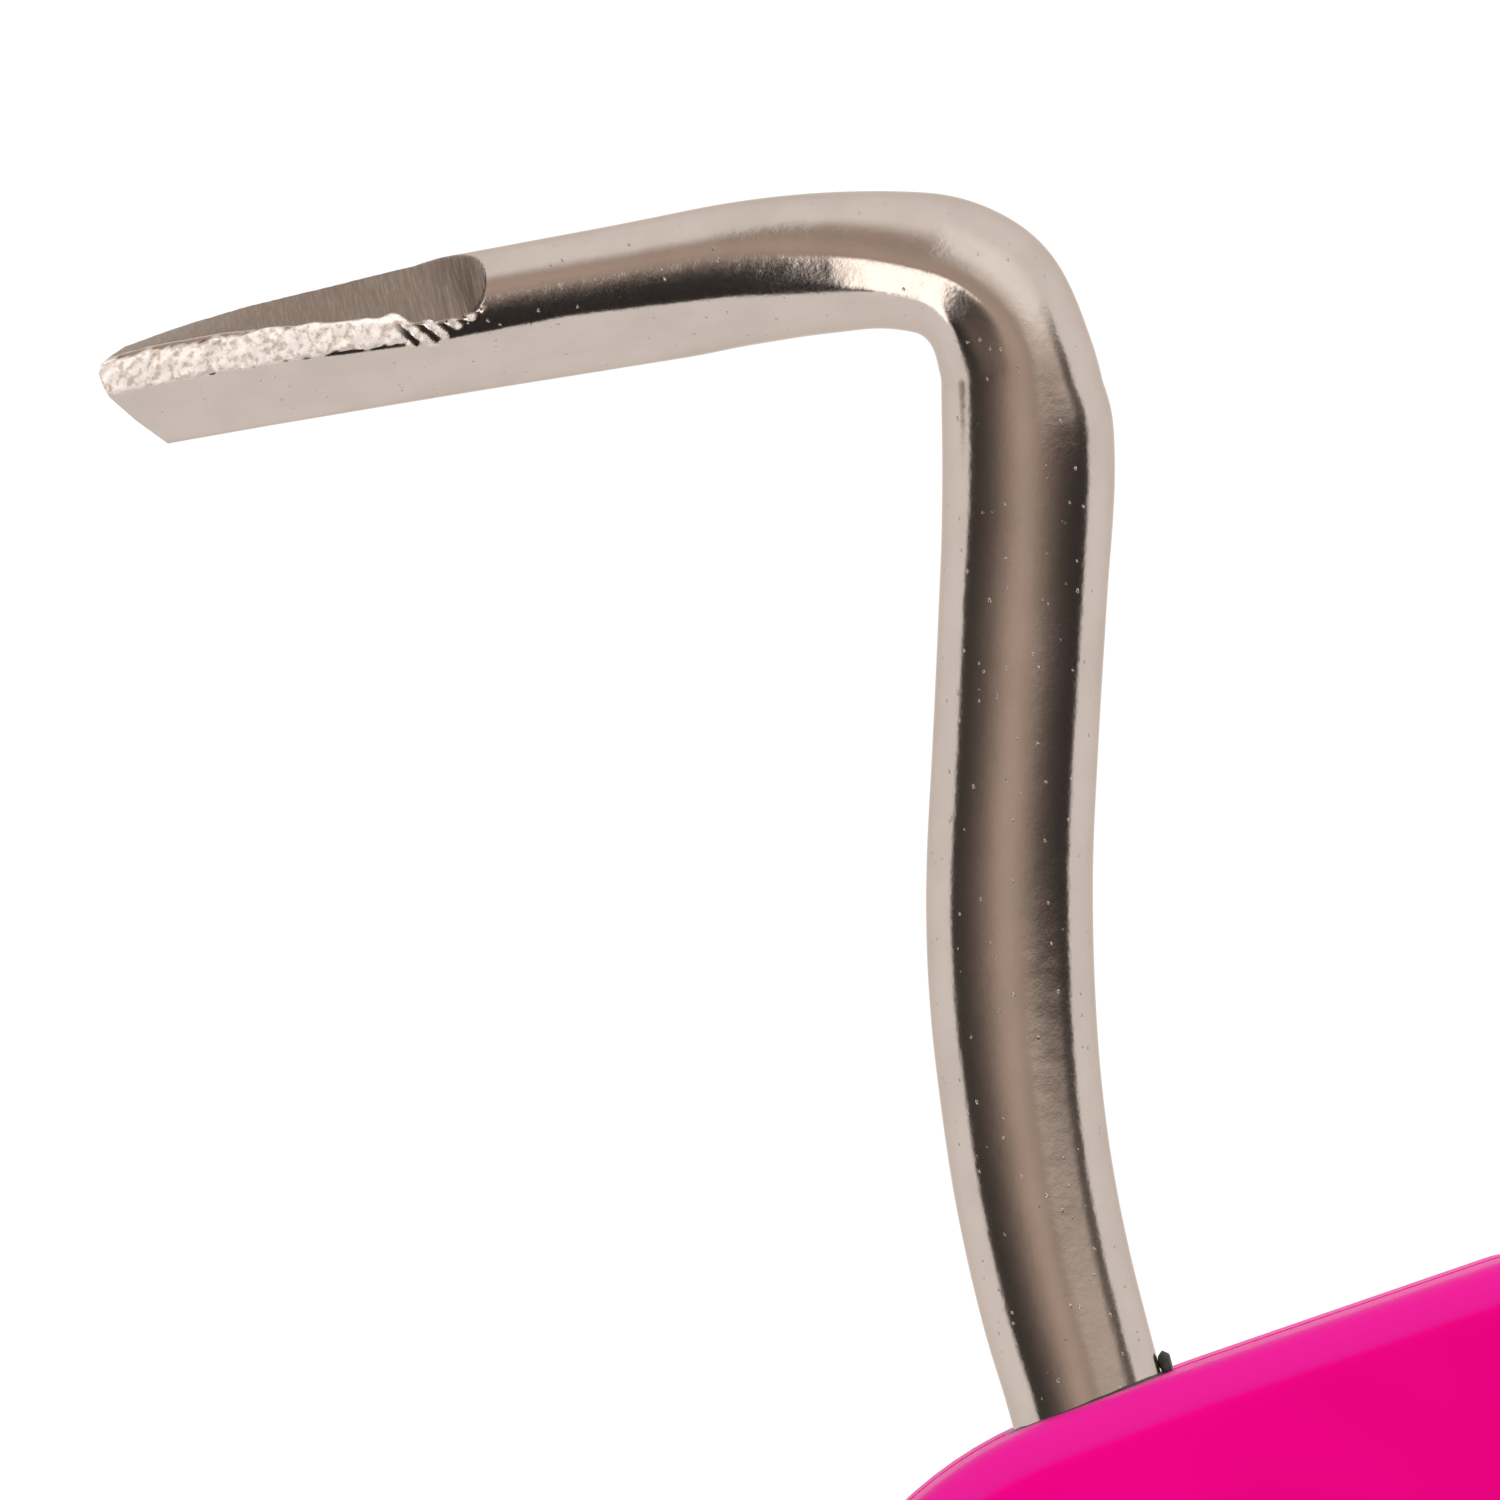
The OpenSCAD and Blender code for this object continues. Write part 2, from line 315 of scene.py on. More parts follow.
def handle_material():
    """Vivid pink moulded plastic with a satin skin, and a painted sheen on its rounded edges and
    side walls.
    """
    material, nodes, shader = new_material("handle_plastic")
    place = nodes.place()
    cloud = nodes.noise(place, 14.0, 2.0)
    colour = nodes.mix(nodes.step(cloud, 0.3, 0.7), PINK, DEEP_PINK)
    # painted sheen on everything below the flat faces
    colour = nodes.mix(nodes.attribute("edge"), colour, SHEEN_PINK)
    specks = nodes.cells(place, 3.4)
    speck = nodes.math("LESS_THAN", specks.outputs["Distance"], 0.035)
    colour = nodes.mix(nodes.math("MULTIPLY", speck, 0.5), colour, (0.9, 0.10, 0.40, 1))
    nodes.put(shader.inputs["Base Color"], colour)
    skin = nodes.noise(place, 0.32, 3.0, 0.6)
    nodes.put(shader.inputs["Roughness"], nodes.step(skin, 0.3, 0.7, 0.36, 0.44))
    shader.inputs["Specular IOR Level"].default_value = 0.03
    normal = nodes.bump(skin, 0.0035)
    normal = nodes.bump(nodes.noise(place, 3.0, 1.0), 0.012, normal)
    nodes.put(shader.inputs["Normal"], normal)
    return material


def bristle_material():
    """Black nylon filament, a little lighter towards its cut ends."""
    material, nodes, shader = new_material("bristle_nylon")
    place = nodes.place()
    along = nodes.attribute("along")
    shade = nodes.mix(nodes.noise(place, 1.2, 2.0), (0.010, 0.010, 0.012, 1),
                      (0.026, 0.025, 0.027, 1))
    shade = nodes.mix(nodes.step(along, 0.93, 1.0, 0.0, 0.5), shade, (0.075, 0.072, 0.075, 1))
    nodes.put(shader.inputs["Base Color"], shade)
    nodes.put(shader.inputs["Roughness"], nodes.step(nodes.noise(place, 0.5), 0.3, 0.7,
                                                     0.34, 0.5))
    nodes.put(shader.inputs["Normal"], nodes.bump(nodes.noise(place, 0.08), 0.002))
    return material


def bead_material():
    """Dark resin squeezed out round the rod."""
    material, nodes, shader = new_material("adhesive")
    place = nodes.place()
    shade = nodes.mix(nodes.noise(place, 0.4), (0.006, 0.007, 0.006, 1),
                      (0.05, 0.052, 0.042, 1))
    nodes.put(shader.inputs["Base Color"], shade)
    nodes.put(shader.inputs["Roughness"], nodes.step(nodes.noise(place, 0.2), 0.3, 0.7,
                                                     0.3, 0.6))
    nodes.put(shader.inputs["Normal"], nodes.bump(nodes.noise(place, 0.12), 0.01))
    return material


def staple_material():
    """Drawn brass-coated anchor wire."""
    material, nodes, shader = new_material("staple_wire")
    place = nodes.place()
    shade = nodes.mix(nodes.noise(place, 0.3), (0.62, 0.50, 0.30, 1), (0.42, 0.34, 0.22, 1))
    nodes.put(shader.inputs["Base Color"], shade)
    shader.inputs["Metallic"].default_value = 1.0
    nodes.put(shader.inputs["Roughness"], nodes.step(nodes.noise(place, 0.2), 0.3, 0.7,
                                                     0.25, 0.45))
    nodes.put(shader.inputs["Normal"], nodes.bump(nodes.noise(place, 0.1), 0.004))
    return material


# ---------------------------------------------------------------- the rod's path
ARM_END = 24.7          # length of the straight arm that ends in the tip
# Steps of [straight length, bend radius, bend angle]; + bends towards +Y.
ROD_STEPS = [
    [ROD_EMBED + 3.6, 65, -18],
    [10, 70, 5],
    [1.4, 4.6, 82],
    [0, 32, 16],
    [ARM_END, 0, 0],
]
ARM_START = sum(s[0] + s[1] * math.radians(abs(s[2])) for s in ROD_STEPS[:4]) - ROD_EMBED


def path_at(s):
    """Point and heading of the rod's axis at distance s from the socket's mouth."""
    at = np.array([MOUTH_X - ROD_EMBED, ROD_Y])
    heading = 0.0
    left = s + ROD_EMBED
    for straight, radius, angle in ROD_STEPS:
        ahead = np.array([math.cos(heading), math.sin(heading)])
        run = min(left, straight) if radius else left
        at = at + run * ahead
        left -= run
        if left <= 0 or not radius:
            break
        side = 1 if angle > 0 else -1
        turn = side * min(left / radius, math.radians(abs(angle)))
        left -= abs(turn) * radius
        centre = at + side * radius * np.array([-ahead[1], ahead[0]])
        heading += turn
        at = centre - side * radius * np.array([-math.sin(heading), math.cos(heading)])
    return at, heading


# Width across the plane of the bends, as a share of the bar's diameter.
ROD_WIDTHS = [[0, 1], [10, 1.02], [18, 1.07], [27, 1.055], [39, 1.09], [46, 1.025],
              [54, 0.925], [68, 0.865]]
# The arm is drawn oval, with its long axis leaning to the outer side: [mm along, value]
LEAN_DEG = [[42.5, 0], [50.5, 35]]
LONG_HALF = [[31, 2.97], [39, 3.3], [44, 3.2], [50, 3.55], [56, 3.74], [63, 3.68], [70, 3.58]]
# What the bend adds to the rod's outer side and to its inner side: [mm along, mm]
OUTER_SWELL = [[34, 0], [38, 0.14], [40.4, 0.12], [42.3, -0.46], [43.6, -0.42], [45, 0.04],
               [48, 0.16], [53, 0.12], [60, 0.03], [68, 0.06]]
INNER_SWELL = [[1.0, 0], [3, 0.09], [9, 0.07], [13, 0], [43, 0], [44.5, -0.05],
               [46, -0.36], [47.5, -0.76], [49.5, -0.86], [51.5, -0.52], [54.5, -0.18],
               [57.5, 0.0], [68, -0.03], [77, -0.09]]
# The inner shoulder of the sharp bend is pressed a little flat: [mm along, depth of cut]
SHOULDER_LEAN = math.radians(20)
SHOULDER_WAY = np.array([-math.sin(SHOULDER_LEAN), math.cos(SHOULDER_LEAN)])
SHOULDER_CUT = [[42.5, 0], [44.5, 0.09], [50, 0.09], [53, 0]]

# Faces of the tip: [mm along the arm, lean or distance from the arm's axis]
PRESSED_LEAN = math.radians(57)       # from upright, towards the inner side
PRESSED_DEPTH = [[-9, 3.5], [-6.5, 2.95], [-4.2, 2.69], [-0.9, 2.40], [5.6, 2.02],
                 [11.5, 1.93], [17, 1.77], [24.7, 1.72]]
GROUND_TILT = [[8, 68], [9.4, 65], [10.3, 55], [11.5, 42], [15.6, 23], [20.4, 13], [24.7, 4]]
GROUND_DEPTH = [[8, 3.2], [9.4, 2.85], [10.3, 2.62], [11.5, 2.29], [15.6, 2.22],
                [20.4, 2.03], [23, 1.75], [24.7, 1.41]]
GROUND_START = 9.9      # the wheel's run-out curves up before this place on the arm
WHEEL_R = 1.62
DETAIL_START = 7        # no grinding lines or torn metal before this
# The end face, across the arm from its inner to its outer side: [mm, mm along]
END_LINE = [[-2.8, 22.35], [-2.55, 22.60], [-1.56, 23.56], [-0.44, 24.45], [0.07, 24.62],
            [0.55, 24.70], [0.91, 24.56], [1.3, 23.9], [2.8, 21.5]]


def section_axes(s):
    """Long half axis, short half axis and lean of the rod's oval section.

    The round bar keeps its section's area, until LONG_HALF takes over. The short half
    axis follows from the width across the plane of the bends.
    """
    half = ROD_D / 2 * eased(s, ROD_WIDTHS, 3.0)
    lean = math.radians(eased(s, LEAN_DEG, 1.5))
    long_half = eased(s, LONG_HALF, 1.5)
    share = smooth((s - LONG_HALF[0][0]) / 6.0)
    long_half = (ROD_D / 2) ** 2 / half * (1 - share) + long_half * share
    short_half = math.sqrt(half**2 - (long_half * math.sin(lean)) ** 2) / math.cos(lean)
    return long_half, short_half, lean


def ground_depth(a):
    """Distance of the ground face from the arm's axis, with the wheel's run-out."""
    depth = lookup(a, GROUND_DEPTH)
    back = np.clip(GROUND_START - a, 0, WHEEL_R)
    return depth + WHEEL_R - np.sqrt(np.maximum(WHEEL_R**2 - back**2, 0)) + np.where(
        a < GROUND_START - WHEEL_R, 3.0, 0.0)


def soft_min(a, b, k):
    """The lower of a and b, rounded over about k where they meet."""
    h = np.clip(0.5 + 0.5 * (b - a) / k, 0, 1)
    return b * (1 - h) + a * h - k * h * (1 - h)


def value_noise(x, seed):
    """Smooth 1-D noise from 0 to 1, the same on every run."""
    x = np.asarray(x, float)
    low = np.floor(x)
    t = smooth(x - low)

    def at(i):
        return np.modf(np.abs(np.sin(i * 127.1 + seed * 311.7) * 43758.5453))[0]

    return at(low) * (1 - t) + at(low + 1) * t


SIDES = 224


def rod_stations():
    """Distances along the rod, closest together where the tip has most detail."""
    spans = [(-ROD_EMBED, -1.5, 3.0), (-1.5, 40.0, 0.5), (40.0, 51.0, 0.16),
             (51.0, ARM_START + 7.6, 0.4), (ARM_START + 7.6, ARM_START + 24.0, 0.085),
             (ARM_START + 24.0, ARM_START + ARM_END, 0.06)]
    out = []
    for start, end, step in spans:
        count = max(1, round((end - start) / step))
        out.extend(start + (end - start) * i / count for i in range(count))
    return np.array(out + [ARM_START + ARM_END])


def tip_section(a, outline):
    """Cuts an arm section, given as (outer side, up) points, by the tip's faces.

    Returns the cut points and how much of each belongs to the ground face.
    """
    # the part that is left is narrow at the tip, so the cuts are cast from inside it
    inside = smooth((a - 6) / 16)
    centre = np.array([-1.15 * inside, -0.35 * inside])
    ray = outline - centre
    reach = np.linalg.norm(ray, axis=1)
    way = ray / reach[:, None]

    def cast(normal, depth):
        toward = way @ normal
        room = depth - centre @ normal
        return np.where(toward > 1e-3, room / np.maximum(toward, 1e-3), 99.0)

    pressed = np.array([-math.sin(PRESSED_LEAN), math.cos(PRESSED_LEAN)])
    edge_k = 0.55 - 0.35 * smooth((a - 2) / 12)
    cut = soft_min(reach, cast(pressed, lookup(a, PRESSED_DEPTH)), edge_k)
    tilt = math.radians(lookup(a, GROUND_TILT))
    ground_normal = np.array([math.cos(tilt), math.sin(tilt)])
    to_ground = cast(ground_normal, ground_depth(np.array(a)))
    is_ground = smooth(0.5 + (cut - to_ground) / 0.10)
    cut = soft_min(cut, to_ground, 0.07)
    return centre + way * cut[:, None], is_ground


def rod_points():
    """All rings of the rod, with marks for its ground face and its torn edge."""
    stations = rod_stations()
    q = 2 * math.pi * np.arange(SIDES) / SIDES
    rings, ground_marks, burr_marks = [], [], []
    for s in stations:
        long_half, short_half, lean = section_axes(s)
        # outer side is -Y of the heading; up is +Z
        long_axis = np.array([math.sin(lean), math.cos(lean)])
        short_axis = np.array([-math.cos(lean), math.sin(lean)])
        outline = (long_half * np.cos(q)[:, None] * long_axis
                   + short_half * np.sin(q)[:, None] * short_axis)
        half_width = np.abs(outline[:, 0]).max()
        # the bend's swelling grows from the axis to each side
        share = np.clip(outline[:, 0] / half_width, -1, 1)
        outline[:, 0] += (eased(s, OUTER_SWELL, 0.9) * smooth(share)
                          - eased(s, INNER_SWELL, 0.9) * smooth(-share))
        if 42 < s < 54:
            level = outline @ SHOULDER_WAY
            lowered = soft_min(level, level.max() - eased(s, SHOULDER_CUT, 1.0), 0.06)
            outline -= (level - lowered)[:, None] * SHOULDER_WAY
        a = s - ARM_START
        is_ground = np.zeros(SIDES)
        burr = np.zeros(SIDES)
        along = np.full(SIDES, a)
        if a > PRESSED_DEPTH[0][0]:
            outline, is_ground = tip_section(a, outline)
        if a > DETAIL_START:
            outline, is_ground, burr = tip_detail(a, outline, is_ground)
            shear = smooth((a - 10) / (ARM_END - 10))
            end = lookup(outline[:, 0], END_LINE)
            along = a + shear * (end - ARM_END)
        # the arm is straight, so its rings may be sheared along it
        at, heading = path_at(min(s, ARM_START))
        ahead = np.array([math.cos(heading), math.sin(heading)])
        across = np.array([math.sin(heading), -math.cos(heading)])
        flat = at + np.maximum(along, 0)[:, None] * ahead + outline[:, :1] * across
        rings.append(np.column_stack([flat, outline[:, 1]]))
        ground_marks.append(is_ground)
        burr_marks.append(burr)
    return np.array(rings), np.array(ground_marks), np.array(burr_marks)


def tip_detail(a, outline, is_ground):
    """Grinding lines across the ground face and the torn metal along its upper edge."""
    v, z = outline[:, 0].copy(), outline[:, 1].copy()
    # lines left by the wheel: shallow steps, stronger near the run-out
    line = (value_noise(np.array(a / 0.33), 3) - 0.5) + 0.6 * (
        value_noise(np.array(a / 0.14), 5) - 0.5)
    deep = 0.022 + 0.05 * smooth((12.5 - a) / 2.5)
    tilt = math.radians(lookup(a, GROUND_TILT))
    v -= is_ground * line * deep * math.cos(tilt)
    z -= is_ground * line * deep * math.sin(tilt)

    # torn edge: a band on the ridge between the ground face and the pressed face, with
    # its two borders as [mm along the arm, mm towards the outer side]
    top = lookup(a, [[8.6, 0.5], [9.6, 0.25], [10.8, 0.25], [11.6, 0.45], [12.4, 0.82],
                     [14.5, 0.9], [17.5, 1.12], [22.3, 1.12], [24.2, 1.05]])
    low = lookup(a, [[8.6, 0.3], [9.6, 0.0], [10.4, -0.25], [11.0, -0.62], [11.9, -0.64],
                     [12.6, -0.28], [14.0, -0.2], [22.0, -0.2], [24.2, -0.32]])
    top = top + 0.16 * (value_noise(np.array(a / 0.55), 11) - 0.5)
    low = low + 0.12 * (value_noise(np.array(a / 0.42), 17) - 0.5)
    band = smooth((v - low) / 0.12 + 0.5) * smooth((top - v) / 0.12 + 0.5)
    upper = smooth((z - 1.0) / 0.8)
    # past the face's middle only slanting flakes are left of it
    flakes = smooth((0.5 + 0.5 * np.sin((a - 0.9 * v) * 7.6) - 0.45) / 0.3)
    solid = smooth((a - 12.0) / 0.9)
    burr = band * upper * smooth((a - 8.6) / 0.9) * (solid + (1 - solid) * flakes)
    lumps = np.array([
        noise.noise(Vector((a / 0.36 + x / 1.0, x / 0.6, 3.7))) for x in v
    ])
    ridges = np.array([
        noise.noise(Vector(((a + 0.75 * x) / 0.5, x / 1.8, 9.1))) for x in v
    ])
    height = 0.06 + 0.24 * lumps + 0.26 * np.abs(ridges)
    z += burr * height
    v += burr * 0.08 * lumps
    return np.column_stack([v, z]), is_ground * (1 - burr), burr


def build_rod():
    rings, ground, burr = rod_points()
    count = len(rings)
    points = rings.reshape(-1, 3)
    faces = ring_quads(0, SIDES, count)
    # caps: rings that shrink to the middle, with a small rounded rim at the tip
    cap_ground = 0.55       # the cut ends are partly bare steel
    extra, extra_ground, extra_burr = [], [], []
    base = len(points)

    def close(ring, first, forward, shares, bulge, flip):
        nonlocal base
        middle = ring.mean(axis=0)
        previous = first
        for share, out in zip(shares, bulge):
            extra.append(middle + (ring - middle) * share + forward * out)
            extra_ground.append(np.full(SIDES, cap_ground))
            extra_burr.append(np.zeros(SIDES))
            for k in range(SIDES):
                a, b = previous + k, previous + (k + 1) % SIDES
                c, d = base + (k + 1) % SIDES, base + k
                faces.append((d, c, b, a) if flip else (a, b, c, d))
            previous = base
            base += SIDES
        extra.append((middle + forward * bulge[-1])[None, :])
        extra_ground.append(np.full(1, cap_ground))
        extra_burr.append(np.zeros(1))
        for k in range(SIDES):
            a, b = previous + k, previous + (k + 1) % SIDES
            faces.append((base, b, a) if flip else (a, b, base))
        base += 1

    _, heading = path_at(ARM_START)
    ahead = np.array([math.cos(heading), math.sin(heading), 0])
    close(rings[-1], (count - 1) * SIDES, ahead, (0.985, 0.955, 0.8, 0.5, 0.2),
          (0.02, 0.035, 0.04, 0.04, 0.04), False)
    close(rings[0], 0, np.array([-1.0, 0, 0]), (0.98, 0.9, 0.5), (0.05, 0.08, 0.08), True)
    points = np.vstack([points] + extra)
    mesh = make_mesh("pick_rod_body", points, faces)
    float_attribute(mesh, "ground", np.concatenate([ground.ravel()] + extra_ground))
    float_attribute(mesh, "burr", np.concatenate([burr.ravel()] + extra_burr))
    shade_smooth(mesh)
    return mesh


# ---------------------------------------------------------------- handle
# Corners of the handle's outline: [x, y, radius of the corner]
HANDLE_OUTLINE = [
    [105.6, -24, 4.5],
    [104.34, -6, 120],
    [102.1, 16.6, 16.8],
    [60, 12.5, 55],
    [28, 15.1, 45],
    [-14, 13.3, 13],
    [-14, -13.3, 13],
    [26, -15.1, 40],
    [46, -12.5, 11],
    [54, -24, 6],
]
HEAD_EDGE_R = 2.0
GRIP_EDGE_R = 6.0
EDGE_BLEND_X = (66.0, 40.0)     # from the head's edge to the grip's
FACE_INSET = 0.35       # from the rounded edge to the flat face's last ring
HANG_HOLE_D = 8.0
HANG_HOLE_CHAMFER = 0.8
SEAM_H = 0.05           # the mould's parting line stands proud of the side wall
SEAM_W = 0.12


def outline_line(corners, arc_steps, max_run):
    """Points and outward normals along the outline, counter-clockwise."""
    arcs = []
    n = len(corners)
    for i in range(n):
        before, corner, after = corners[i - 1], corners[i], corners[(i + 1) % n]
        c = np.array(corner[:2])
        way_in = c - before[:2]
        way_in = way_in / np.linalg.norm(way_in)
        way_out = np.array(after[:2]) - c
        way_out = way_out / np.linalg.norm(way_out)
        turn = math.atan2(way_in[0] * way_out[1] - way_in[1] * way_out[0],
                          way_in @ way_out)
        r = corner[2] * (1 if turn > 0 else -1)
        right = np.array([way_in[1], -way_in[0]])
        start = c - way_in * abs(r * math.tan(turn / 2))
        centre = start - r * right
        for k in range(arc_steps + 1):
            t = turn * k / arc_steps
            normal = np.array([right[0] * math.cos(t) - right[1] * math.sin(t),
                               right[0] * math.sin(t) + right[1] * math.cos(t)])
            arcs.append((centre + r * normal, normal))
    points, normals = [], []
    for i, (here, normal) in enumerate(arcs):
        there, next_normal = arcs[(i + 1) % len(arcs)]
        parts = max(1, math.ceil(np.linalg.norm(there - here) / max_run))
        for k in range(parts):
            mixed = normal + (next_normal - normal) * k / parts
            points.append(here + (there - here) * k / parts)
            normals.append(mixed / np.linalg.norm(mixed))
    return np.array(points), np.array(normals)


def edge_radius(x):
    share = smooth((x - EDGE_BLEND_X[0]) / (EDGE_BLEND_X[1] - EDGE_BLEND_X[0]))
    return HEAD_EDGE_R + (GRIP_EDGE_R - HEAD_EDGE_R) * share


def handle_body():
    points, normals = outline_line(HANDLE_OUTLINE, 26, 1.6)
    radius = edge_radius(points[:, 0])
    edge_steps = 11
    rings = []

    def ring(inset, z):
        flat = points - inset[:, None] * normals
        rings.append(np.column_stack([flat, z * np.ones(len(flat))]))

    half = HANDLE_T / 2
    ring(radius + FACE_INSET, -half)
    for k in range(edge_steps + 1):
        angle = math.radians(-90 + 90 * k / edge_steps)
        ring(radius * (1 - math.cos(angle)), -(half - radius) + radius * math.sin(angle))
    none = np.zeros(len(points))
    ring(none, -SEAM_W / 2)
    ring(none - SEAM_H, -SEAM_W / 6)
    ring(none - SEAM_H, SEAM_W / 6)
    ring(none, SEAM_W / 2)
    for k in range(edge_steps + 1):
        angle = math.radians(90 * k / edge_steps)
        ring(radius * (1 - math.cos(angle)), (half - radius) + radius * math.sin(angle))
    ring(radius + FACE_INSET, half)
    return make_mesh("handle_body", np.vstack(rings), tube_faces(0, len(points), len(rings)))


def turned_solid(profile, sides, matrix, out_points, out_faces):
    """Adds a closed solid turned about Z, from [radius, z] with z rising."""
    base = len(out_points)
    for r, z in profile:
        for k in range(sides):
            t = 2 * math.pi * k / sides
            p = matrix @ Vector((r * math.cos(t), r * math.sin(t), z))
            out_points.append(tuple(p))
    out_faces.extend(tube_faces(base, sides, len(profile)))


# Rows of tufts: count, x of the first and z
TUFT_ROWS = {"a": (8, 63.0, -5.0), "b": (7, 65.5, 0.0), "c": (8, 63.0, 5.0)}
TUFT_PITCH = 5.0
TUFT_HOLE_D = 3.2
TUFT_HOLE_DEPTH = 9.0
BRISTLE_L = 25.0
TUFT_TIP_D = 4.3
POINTS_TO_PAD = Matrix.Rotation(math.radians(90), 4, "X")   # +Z becomes -Y


def tuft_places():
    for row, (count, start_x, z) in TUFT_ROWS.items():
        for i in range(count):
            yield f"tuft_{row}{i + 1}", start_x + TUFT_PITCH * i, z


def handle_cutters():
    points, faces = [], []
    half = HANDLE_T / 2
    past = 0.4              # the cutter runs this far past each face
    bore = HANG_HOLE_D / 2
    flare = bore + HANG_HOLE_CHAMFER + past
    turned_solid([[flare, -half - past], [bore, -half + HANG_HOLE_CHAMFER],
                  [bore, half - HANG_HOLE_CHAMFER], [flare, half + past]],
                 96, Matrix.Identity(4), points, faces)
    rim = 0.22              # chamfer at each tuft hole's mouth
    for _, x, z in tuft_places():
        at = Matrix.Translation((x, TUFT_HOLE_DEPTH - PAD_Y, z)) @ POINTS_TO_PAD
        r = TUFT_HOLE_D / 2
        turned_solid([[0.15, -0.5], [r, 0], [r, TUFT_HOLE_DEPTH - rim],
                      [r + rim + 0.3, TUFT_HOLE_DEPTH + 0.3]], 32, at, points, faces)
    # the rod's socket, opened a little at its mouth for the bead
    along_x = Matrix.Translation((MOUTH_X - ROD_EMBED, ROD_Y, 0)) @ Matrix.Rotation(
        math.radians(90), 4, "Y")
    r = ROD_D / 2 + 0.02
    bead_r = ROD_D / 2 + 0.35
    bead_from = ROD_EMBED - 1.2
    turned_solid([[r, -0.1], [r, bead_from], [bead_r, bead_from + 0.01],
                  [bead_r, ROD_EMBED + 4]], 96, along_x, points, faces)
    return make_mesh("cutters", points, faces)


def build_handle():
    scene = bpy.context.scene
    body = bpy.data.objects.new("handle_raw", handle_body())
    cutter = bpy.data.objects.new("handle_cutter", handle_cutters())
    for obj in (body, cutter):
        scene.collection.objects.link(obj)
    cut = body.modifiers.new("holes", "BOOLEAN")
    cut.operation = "DIFFERENCE"
    cut.solver = "EXACT"
    cut.object = cutter
    bpy.context.view_layer.update()
    shaped = body.evaluated_get(bpy.context.evaluated_depsgraph_get())
    mesh = bpy.data.meshes.new_from_object(shaped)
    mesh.name = "handle_shape"
    # "edge" marks everything below the flat faces, for the painted sheen there
    height = np.array([abs(v.co.z) / MM for v in mesh.vertices])
    x = np.array([v.co.x / MM for v in mesh.vertices])
    flat_from = HANDLE_T / 2 - 0.012 * edge_radius(x)
    float_attribute(mesh, "edge", (height < flat_from).astype(float))
    bpy.data.objects.remove(body)
    bpy.data.objects.remove(cutter)
    shade_smooth(mesh, 28)
    return mesh


# ---------------------------------------------------------------- bead at the mouth
def build_bead():
    """A thin, uneven ring of dark resin, and the drip beside the rod."""
    points, faces = [], []
    around, rise = 120, 9
    inner = ROD_D / 2 + 0.005
    outer = ROD_D / 2 + 0.33
    for k in range(around):
        t = 2 * math.pi * k / around
        wobble = value_noise(np.array([k / 4.0]), 23)[0]
        across, up = math.cos(t), math.sin(t)
        # the end face is crowned, so the ring's rim follows its slope
        face = MOUTH_X - MOUTH_DROP - math.tan(MOUTH_SLOPE) * across * outer
        climb = 0.07 + 0.07 * wobble
        profile = [(inner, face - 1.0), (outer, face - 1.0)]
        for j in range(rise):
            u = j / (rise - 1)
            profile.append((outer + (inner - outer) * u, face - 0.03 + climb * u * u))
        for r, x in profile:
            points.append((x, ROD_Y + across * r, up * r))
    size = rise + 2
    for k in range(around):
        for j in range(size):
            a, b = k * size + j, k * size + (j + 1) % size
            c, d = ((k + 1) % around) * size + (j + 1) % size, ((k + 1) % around) * size + j
            faces.append((a, d, c, b))
    # the drip: a stub with a blunt, lumpy head
    base = len(points)
    spin, length = 20, 12
    drip_y = ROD_Y - 3.45
    for j in range(length):
        u = j / (length - 1)
        r = 0.20 + 0.07 * math.sin(math.pi * u) - 0.19 * max(0.0, u - 0.8) / 0.2
        x = MOUTH_X + 0.20 + 0.98 * u
        for k in range(spin):
            t = 2 * math.pi * k / spin
            lump = 1 + 0.14 * noise.noise(Vector((math.cos(t), math.sin(t), u * 3)))
            points.append((x, drip_y + r * lump * math.cos(t), r * lump * math.sin(t)))
    faces += tube_faces(base, spin, length)
    mesh = make_mesh("socket_bead_body", points, faces)
    shade_smooth(mesh, 50)
    return mesh


# ---------------------------------------------------------------- bristles
FILAMENT_D = 0.30
FILAMENTS = 54          # in each tuft
FILAMENT_START = 3.2    # above the hole's bottom, just past the staple


def spread_points(count, radius, draw):
    """Evenly spread points in a disc, a little shaken, as filaments pack in a hole."""
    golden = math.pi * (3 - math.sqrt(5))
    turn = draw.uniform(0, 2 * math.pi)
    out = []
    for i in range(count):
        r = radius * math.sqrt((i + 0.5) / count)
        t = turn + golden * i
        out.append((r * math.cos(t) + draw.uniform(-0.05, 0.05),
                    r * math.sin(t) + draw.uniform(-0.05, 0.05)))
    return out


